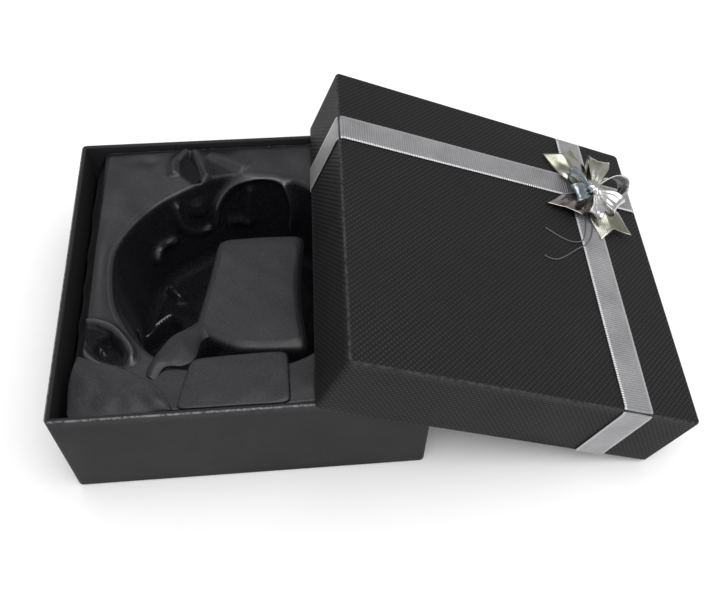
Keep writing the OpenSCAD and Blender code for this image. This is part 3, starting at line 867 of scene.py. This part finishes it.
# Edges of the pocket at the front left, of the tuck at the back, and of the slope beside it
EYE = np.array([(-40.0, -18.3), (-38.6, -17.0), (-35.4, -17.8), (-31.8, -19.8), (-29.0, -23.2),
                (-27.4, -26.8), (-27.8, -30.2), (-31.3, -29.4), (-34.4, -27.6), (-37.2, -24.6),
                (-39.3, -21.4)])
EYE_UPPER = spline([(-40.2, -18.0), (-38.8, -16.4), (-35.4, -16.9), (-31.4, -18.9), (-28.3, -22.6),
                    (-26.4, -26.4), (-26.9, -30.4)], 5)
EYE_LOWER = spline([(-40.2, -19.0), (-39.8, -21.7), (-38.0, -25.5), (-34.9, -28.8), (-31.3, -30.4),
                    (-27.6, -31.4)], 5)
TUCK = np.array([(-14.0, 43.2), (-15.6, 39.9), (-17.3, 37.2), (-17.0, 32.5), (-13.8, 29.2), (-10.6, 29.6),
                 (-11.8, 34.5), (-13.2, 39.0)])
TUCK_LEFT = spline([(-14.6, 43.2), (-16.6, 40.2), (-18.6, 37.2), (-18.6, 32.0)], 5)
TUCK_RIGHT = spline([(-13.4, 43.2), (-12.0, 39.2), (-10.4, 34.4), (-8.8, 30.6)], 5)
SLOPE = np.array([(-11.4, 40.0), (-4.7, 36.0), (0.1, 32.4), (-5.0, 30.6), (-9.8, 29.4)])


# Folds of the pouch: line, half width, push inwards, push upwards, and shine, a painted highlight along the
# fold
POUCH_FOLDS = [
    ([(-9.8, 28.3, 15.5), (-9.0, 28.9, 19.8), (-8.1, 29.5, 22.8), (-5.2, 30.6, 26.8), (-1.4, 31.4, 29.8),
      (3.4, 31.9, 31.4), (7.8, 31.2, 32.0), (11.7, 29.4, 31.2), (13.2, 28.6, 29.0), (14.6, 27.3, 24.7),
      (14.8, 26.5, 20.1), (13.8, 26.3, 13.5)], 1.0, 2.4, 0.7, 3.6),
    ([(2.6, 31.1, 28.8), (1.7, 30.6, 22), (1.4, 30.0, 14.6)], 1.9, 1.5, 0.0, 0.7),
    ([(-5.8, 29.6, 15.9), (-2.2, 29.9, 15.7), (1.4, 29.8, 14.8)], 1.6, 1.5, 0.0, 0.7),
    ([(-18.2, 25.6, 29.4), (-19.2, 24.9, 27.0), (-19.3, 24.4, 24.4), (-18.8, 24.4, 21.6), (-17.1, 25.1, 18.4),
      (-14.8, 26.3, 16.3), (-12.2, 27.4, 15.7), (-10.1, 28.3, 16.4)], 1.0, 2.5, 0.9, 4.4),
    ([(-13.1, 28.6, 27.5), (-13.3, 27.9, 22.6)], 2.8, 2.0, 0.0, 0.5),
    ([(-26.4, 14.9, 15.8), (-25.4, 16.9, 18.2), (-23.6, 19.3, 18.7), (-20.2, 22.5, 17.6)],
     0.9, 2.4, 0.7, 2.6),
    ([(-30.6, -9.2, 11.0), (-28.2, -6.2, 6.0), (-26.0, -4.2, 4.4), (-22.7, -1.3, 4.2), (-20.0, 0.3, 4.0)],
     1.3, 0.0, 7.0, 3.4),
    ([(-23.6, 13.6, 4.6), (-19.6, 8.4, 4.4)], 1.1, 0.0, 3.0, 3.2),
]


def around_well(angle, r, z):
    """A row of points round the well's middle, r away from it and z high."""
    height = np.broadcast_to(z, angle.shape)
    return np.stack([r * np.cos(angle), WELL_Y + r * np.sin(angle), height], axis=1)


def insert_piece():
    """The cloth as rows from its hem inwards; kinds are 0 drape, 1 ledge, 2 wall and 3 floor."""
    angle = np.linspace(-math.pi, math.pi, COLUMNS, endpoint=False)
    reach, on_side = outer_edge(angle)
    edge = WELL_R + 0.5 * np.sin(2 * angle + 0.6) + 0.35 * np.sin(5 * angle) + 0.15 * np.sin(11 * angle + 1)
    rows = []
    kinds = []
    # side drapes, from their hem up to the ledge
    for k in range(DRAPE_ROWS):
        share = k / DRAPE_ROWS
        low = np.where(on_side, DRAPE_BOTTOM + (31.2 - DRAPE_BOTTOM) * share, 31.62 + 0.1 * share)
        spread = smooth_step((1 - share) * 1.7)
        flare = np.where(on_side, spread * (4.8 + 0.25 * np.sin(angle * 23)), 0)
        r = reach + flare / np.maximum(np.abs(np.cos(angle)), 0.3)
        drape_x = np.clip(r * np.cos(angle), -DRAPE_REACH, DRAPE_REACH)
        drape_y = np.clip(WELL_Y + r * np.sin(angle), -HALF_D, HALF_D)
        rows.append(np.stack([drape_x, drape_y, low], axis=1))
        kinds.append(0)
    # ledge
    for k in range(LEDGE_ROWS):
        share = k / (LEDGE_ROWS - 1)
        r = reach + (edge + 1.2 - reach) * share
        z = np.where(share < 0.06, LEDGE_Z - 0.8 + 0.8 * smooth_step(share / 0.06), LEDGE_Z)
        z = z + 0.35 * math.sin(math.pi * min(share * 1.05, 1))
        rows.append(around_well(angle, r, z))
        kinds.append(1)
    # lip, wall and floor of the pouch
    wall = [(1.2, 0), (0.75, -0.08), (0.3, -0.35), (0.0, -0.9), (-0.15, -1.6)]
    wall += [(-0.25 - 0.11 * k, -2.4 - 0.95 * k) for k in range(WALL_ROWS)]
    low_r, low_z = wall[-1]
    for k in range(1, 13):
        a = math.radians(90 * k / 12)
        wall.append((low_r - FLOOR_R * (1 - math.cos(a)), low_z - FLOOR_R * math.sin(a)))
    for down_r, down_z in wall[1:]:
        rows.append(around_well(angle, edge + down_r, LEDGE_Z + down_z))
        kinds.append(2)
    floor_z = LEDGE_Z + wall[-1][1]
    start = wall[-1][0]
    for k in range(1, FLOOR_ROWS):
        share = k / (FLOOR_ROWS - 1)
        r = (edge + start) * (1 - share) + 0.8 * share
        rows.append(around_well(angle, r, floor_z - 0.6 * share))
        kinds.append(3)
    points = np.concatenate(rows)
    kind = np.repeat(kinds, COLUMNS)
    x, y, z = points[:, 0].copy(), points[:, 1].copy(), points[:, 2].copy()
    radius = np.hypot(x, y - WELL_Y)
    out = np.stack([x / np.maximum(radius, 1e-6), (y - WELL_Y) / np.maximum(radius, 1e-6)], axis=1)
    theta = np.arctan2(y - WELL_Y, x)
    flat = points[:, :2]

    # painted_shine is a painted scale of the shine: painted highlights high on the ledge, the fold crests and
    # the pocket's lips, painted shade low in hollows, the well, the pocket and the tuck
    # ledge: soft puckers, the tuck at the back and the pocket at the front left
    on_top = (kind == 1) | ((kind == 2) & (z > LEDGE_Z - 1.2))
    lift = 0.16 * swell(x, y, 19.0, 0.7) + 0.05 * swell(x, y, 8.0, 1.9)
    lift += bulge(flat, TUCK_LEFT, 1.5, 1.2)
    lift += bulge(flat, TUCK_RIGHT, 1.5, 1.1)
    lift += bulge(flat, [(-10, 41), (-3.5, 37.6), (2, 33.8)], 2.4, 0.7)
    in_tuck = inside(TUCK, flat)
    tuck_gap, _ = distance_to(np.concatenate([TUCK, TUCK[:1]]), flat)
    lift -= np.where(in_tuck, 2.0 * smooth_step(tuck_gap / 1.2), 0)
    lift -= 0.5 * np.exp(-(((x + 26.5) / 3) ** 2 + ((y - 38.5) / 2) ** 2))
    lift += bulge(flat, EYE_UPPER, 0.9, 1.3)
    lift += bulge(flat, EYE_LOWER, 0.9, 1.2)
    eye_gap, _ = distance_to(np.concatenate([EYE, EYE[:1]]), flat)
    in_eye = inside(EYE, flat)
    lift -= np.where(in_eye, 4.4 * smooth_step(eye_gap / 1.5), 0)
    lift += bulge(flat, [(-35.6, -21.6), (-33.8, -24.2)], 0.9, 1.2)
    # painted shade inside the pocket, the tuck and the slope; painted highlights along the pocket's lips
    painted_shine = np.where(in_eye, 1 - 0.95 * smooth_step(eye_gap / 1.0), 1.0)
    painted_shine = painted_shine * (0.96 + 0.1 * swell(x, y, 17.0, 2.6))
    for line in (EYE_UPPER, EYE_LOWER):
        painted_shine = painted_shine + bulge(flat, line, 0.8, 1.3)
    painted_shine = painted_shine + bulge(flat, [(-35.4, -22.0), (-33.8, -24.2)], 0.6, 0.9)
    painted_shine = painted_shine * np.where(in_tuck, 1 - 0.9 * smooth_step(tuck_gap / 0.9), 1.0)
    slope_gap, _ = distance_to(np.concatenate([SLOPE, SLOPE[:1]]), flat)
    painted_shine = painted_shine * np.where(inside(SLOPE, flat), 1 - 0.6 * smooth_step(slope_gap / 1.5), 1.0)
    z = z + np.where(on_top, lift, 0)
    pocket_gap = np.hypot(x - POCKET_AT[0], y - POCKET_AT[1])
    over_card = CARD_TOP + 0.06 - 3.8 * smooth_step((POCKET_R - 0.4 - pocket_gap) / 1.5)
    z = np.maximum(z, np.where((kind == 1) & (radius > 34.0), over_card, -50))

    # pouch: soft gathers that run down the wall and across the floor
    depth = np.clip((LEDGE_Z - z) / WELL_DEPTH, 0, 1)
    in_well = kind >= 2
    # painted shade: the shine fades with depth down the well
    painted_shine = np.where(in_well, painted_shine * (0.06 + 0.94 * smooth_step(1 - depth * 9)), painted_shine)
    near_middle = np.clip(radius / 30.0, 0, 1)
    base = np.stack([x, y, z], axis=1)
    pleats = np.sin(7 * theta + 1.1 * np.sin(2 * theta) + 0.4) + 0.6 * np.sin(17 * theta + 1.9)
    push = 0.3 * (kind == 2) * smooth_step(depth * 2.2) * (pleats + 1.2)
    rise = 0.5 * near_middle * (pleats + 1.6) + 0.8 * swell(x, y, 14, 3.1)
    lift = (kind == 3) * rise

    # named folds in the pouch: found on the plain cloth, pushed towards the middle
    for line, width, inwards, upwards, shine in POUCH_FOLDS:
        gap, share = distance_to(spline(line, 6), base)
        ends = smooth_step(share / 0.08 + 0.2) * smooth_step((1 - share) / 0.08 + 0.2)
        amount = np.exp(-(gap / width) ** 2) * ends * in_well
        push = push + inwards * amount
        lift = lift + upwards * amount
        # painted highlight along each named fold
        painted_shine = painted_shine + shine * np.exp(-(gap / (0.8 * width)) ** 2) * ends * in_well
    solid = base + np.stack([-out[:, 0] * push, -out[:, 1] * push, lift], axis=1)
    solid[:, 2] = np.maximum(solid[:, 2], 2.0)
    r_now = np.hypot(solid[:, 0], solid[:, 1] - WELL_Y)
    shrink = np.where(in_well & (r_now > WELL_LIMIT), WELL_LIMIT / np.maximum(r_now, 1e-6), 1.0)
    solid[:, 0] *= shrink
    solid[:, 1] = WELL_Y + (solid[:, 1] - WELL_Y) * shrink

    count = len(rows)
    faces = grid_faces(count, COLUMNS, closed_columns=True)
    faces.append(tuple(range((count - 1) * COLUMNS, count * COLUMNS)))
    piece = make("insert_cloth", solid, faces, GATHERED_SATIN)
    # stores the painted highlights and painted shade for the satin's shine
    layer = piece.data.attributes.new("painted_shine", "FLOAT", "POINT")
    layer.data.foreach_set("value", np.clip(painted_shine, 0.03, 2.4).astype(np.float32))
    thicken(piece, SATIN_T)
    return piece


insert = insert_piece()
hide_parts("insert_satin")
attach(insert, "tray")


# ---- soft slabs: the strap and the tongue ----
SLAB_EDGE_STEPS = 8
OUTLINE_STEPS = 14


def slab(outline, base_z, top_z, crown_mm, edge_r, rows=26, ripple=0.1, phase=0.0):
    """A padded slab with rounded sides over an outline that is swept towards its middle."""
    outline = np.asarray(outline, float)
    count = len(outline)
    middle = outline.mean(axis=0)
    span = np.linalg.norm(outline - middle, axis=1).mean()
    thick = top_z - base_z
    layers = []
    for k in range(SLAB_EDGE_STEPS + 1):
        a = math.radians(-90 + 180 * k / SLAB_EDGE_STEPS)
        inset = edge_r * (1 - math.cos(a))
        layers.append((inset, base_z + thick / 2 + thick / 2 * math.sin(a)))
    for k in range(1, rows):
        share = k / rows
        layers.append((edge_r + (span - edge_r) * share, None))
    under = [(edge_r + (span - edge_r) * (1 - k / 6), base_z) for k in range(6)]
    points = []
    for inset, z in under + layers:
        keep = 1 - np.clip(inset / span, 0, 0.985)
        ring_now = middle + (outline - middle) * keep
        if z is None:
            rise = crown_mm * (1 - keep ** 2.4)
            waves = ripple * swell(ring_now[:, 0], ring_now[:, 1], 9, phase)
            z_now = top_z + rise + waves * smooth_step((1 - keep) * 6)
        else:
            z_now = np.full(count, z)
        points.append(np.column_stack([ring_now, z_now]))
    total = len(points)
    faces = grid_faces(total, count, closed_columns=True)
    faces.append(tuple(range((total - 1) * count, total * count)))
    faces.append(tuple(range(count))[::-1])
    return np.concatenate(points), faces


def closed_outline(sides):
    """Points along the straight or gently bowed sides between corner points."""
    result = []
    for a, b, bow in sides:
        a, b = np.array(a, float), np.array(b, float)
        d = b - a
        normal = np.array([d[1], -d[0]]) / np.linalg.norm(d)
        for k in range(OUTLINE_STEPS):
            t = k / OUTLINE_STEPS
            result.append(a + d * t + normal * bow * 4 * t * (1 - t))
    return np.array(result)


def rounded(outline, passes):
    for _ in range(passes):
        outline = (np.roll(outline, 1, axis=0) + 2 * outline + np.roll(outline, -1, axis=0)) / 4
    return outline


def inner_slab(name, outline, margin, base_z, top_z, crown_mm, edge_r, material, node_name, body):
    """A pad or a card that keeps inside the cloth round it by a margin."""
    middle = outline.mean(axis=0)
    away = outline - middle
    far = np.linalg.norm(away, axis=1)
    smaller = middle + away * (1 - margin / far)[:, None]
    points, faces = slab(smaller, base_z, top_z, crown_mm, edge_r, rows=10, ripple=0.0)
    piece = make(name, points, faces, material, None, box_uv)
    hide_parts(node_name)
    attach(piece, body)


tongue_outline = rounded(closed_outline([
    ((-12.2, -19.4), (-0.8, -26.6), 0.4), ((-0.8, -26.6), (16.4, -27.4), 0.2),
    ((16.4, -27.4), (17.3, 9.6), -1.9), ((17.3, 9.6), (-6.2, 9.6), 0.5),
    ((-6.2, 9.6), (-12.2, -19.4), -0.4),
]), 2)
tongue_points, tongue_faces = slab(tongue_outline, 27.4, 31.2, 0.75, 1.9, phase=0.9)
tongue = make("tongue_cushion", tongue_points, tongue_faces, SATIN)
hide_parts("tongue_satin")
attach(tongue, "tongue")
inner_slab("tongue_foam_pad", tongue_outline, 1.9, 28.5, 30.6, 0.5, 0.7, FOAM,
           "tongue_foam", "tongue")
inner_slab("tongue_card_sheet", tongue_outline, 1.7, 27.75, 28.45, 0.0, 0.2, CARD,
           "tongue_card", "tongue")

strap_outline = rounded(closed_outline([
    ((-12.2, -29.6), (-15.6, -43.2), 0.0), ((-15.6, -43.2), (11.2, -43.3), 0.0),
    ((11.2, -43.3), (11.0, -28.9), 0.1), ((11.0, -28.9), (-12.2, -29.6), 0.2),
]), 2)
strap_points, strap_faces = slab(strap_outline, 32.1, 33.1, 0.35, 0.6, phase=2.2)
strap = make("strap_cloth", strap_points, strap_faces, SATIN)
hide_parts("strap_satin")
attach(strap, "tray")
inner_slab("strap_card_sheet", strap_outline, 1.5, 32.28, 32.85, 0.0, 0.2, CARD,
           "strap_card", "tray")


# ---- loose lengths of satin at the front left ----
WEB_COLUMNS = 40
WEB_T = 0.2


def web(name, edge_a, edge_b, crown_mm, rows, wrinkle, phase):
    """A length of cloth between two edges, crowned between them."""
    a = resample(spline(edge_a, 8), 0.01)
    b = resample(spline(edge_b, 8), 0.01)
    a = a[np.linspace(0, len(a) - 1, WEB_COLUMNS).astype(int)]
    b = b[np.linspace(0, len(b) - 1, WEB_COLUMNS).astype(int)]
    layers = []
    for k in range(rows + 1):
        t = k / rows
        line = a + (b - a) * t
        arch = math.sin(math.pi * t)
        line[:, 2] += crown_mm * arch + wrinkle * swell(line[:, 0], line[:, 1], 5.5, phase) * arch
        layers.append(line)
    points = np.concatenate(layers)
    piece = make(name, points, grid_faces(rows + 1, WEB_COLUMNS), SATIN)
    thicken(piece, WEB_T)
    subdivide(piece, 1)
    return piece


drape = web("tongue_drape", [
    (-9.4, -15.6, 30.3), (-13.2, -19.2, 31.4), (-17.0, -22.2, 32.4), (-19.9, -26.3, 32.6),
    (-22.2, -30.4, 32.6), (-23.2, -33.2, 31.9),
], [
    (-6.2, -20.8, 29.9), (-9.8, -23.4, 31.0), (-11.2, -29.2, 32.4), (-14.2, -31.4, 32.9),
    (-18.4, -31.5, 32.8), (-20.4, -34.9, 31.9),
], 0.8, 16, 0.16, 0.4)
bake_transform(drape)
flap = web("corner_flap", [
    (-39.4, -26.4, 32.3), (-34.6, -28.9, 33.2), (-28.2, -31.5, 33.5), (-21.9, -35.2, 33.4),
    (-18.6, -38.5, 33.2), (-16.3, -43.0, 32.6),
], [
    (-40.8, -33.6, 31.7), (-40.6, -39.0, 31.5), (-39.6, -43.0, 31.4), (-32.0, -43.3, 32.0),
    (-24.0, -43.3, 32.1), (-17.0, -43.3, 32.2),
], 0.6, 26, 0.24, 1.4)
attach(flap, "tray")


# ---- studio ----
def area_light(name, at, target, size, power):
    data = bpy.data.lights.new(name, "AREA")
    data.shape = "RECTANGLE"
    data.size, data.size_y = size
    data.energy = power
    lamp = bpy.data.objects.new(name, data)
    scene.collection.objects.link(lamp)
    lamp.location = at
    lamp.rotation_euler = (Vector(target) - Vector(at)).to_track_quat("-Z", "Y").to_euler()


area_light("softbox", (0.25, -0.30, 1.1), (0.03, -0.1, 0.0), (1.3, 1.1), 12.5)
area_light("back_light", (-0.30, 0.70, 0.95), (0.0, 0.0, 0.02), (0.45, 0.45), 0.9)

world = bpy.data.worlds.new("studio")
world.use_nodes = True
world.node_tree.nodes["Background"].inputs["Color"].default_value = (1, 1, 1, 1)
world.node_tree.nodes["Background"].inputs["Strength"].default_value = 0.55
scene.world = world

FLOOR_HALF = 2.0
FLOOR_DROP = 0.0002
floor_surface = Surface("pale_floor", (0.93, 0.93, 0.93), 0.9)
floor_grain = floor_surface.noise(floor_surface.place(), 40.0)
floor_surface.colour(floor_surface.mix(floor_grain, (0.93, 0.93, 0.93), (0.95, 0.95, 0.95)))
floor_mesh = bpy.data.meshes.new("floor")
floor_corners = [(x * FLOOR_HALF, y * FLOOR_HALF, 0) for x, y in ((-1, -1), (1, -1), (1, 1), (-1, 1))]
floor_mesh.from_pydata(floor_corners, [], [(0, 1, 2, 3)])
floor_mesh.materials.append(floor_surface.material)
floor = bpy.data.objects.new("floor", floor_mesh)
scene.collection.objects.link(floor)
floor.location = (0, 0, -FLOOR_DROP)
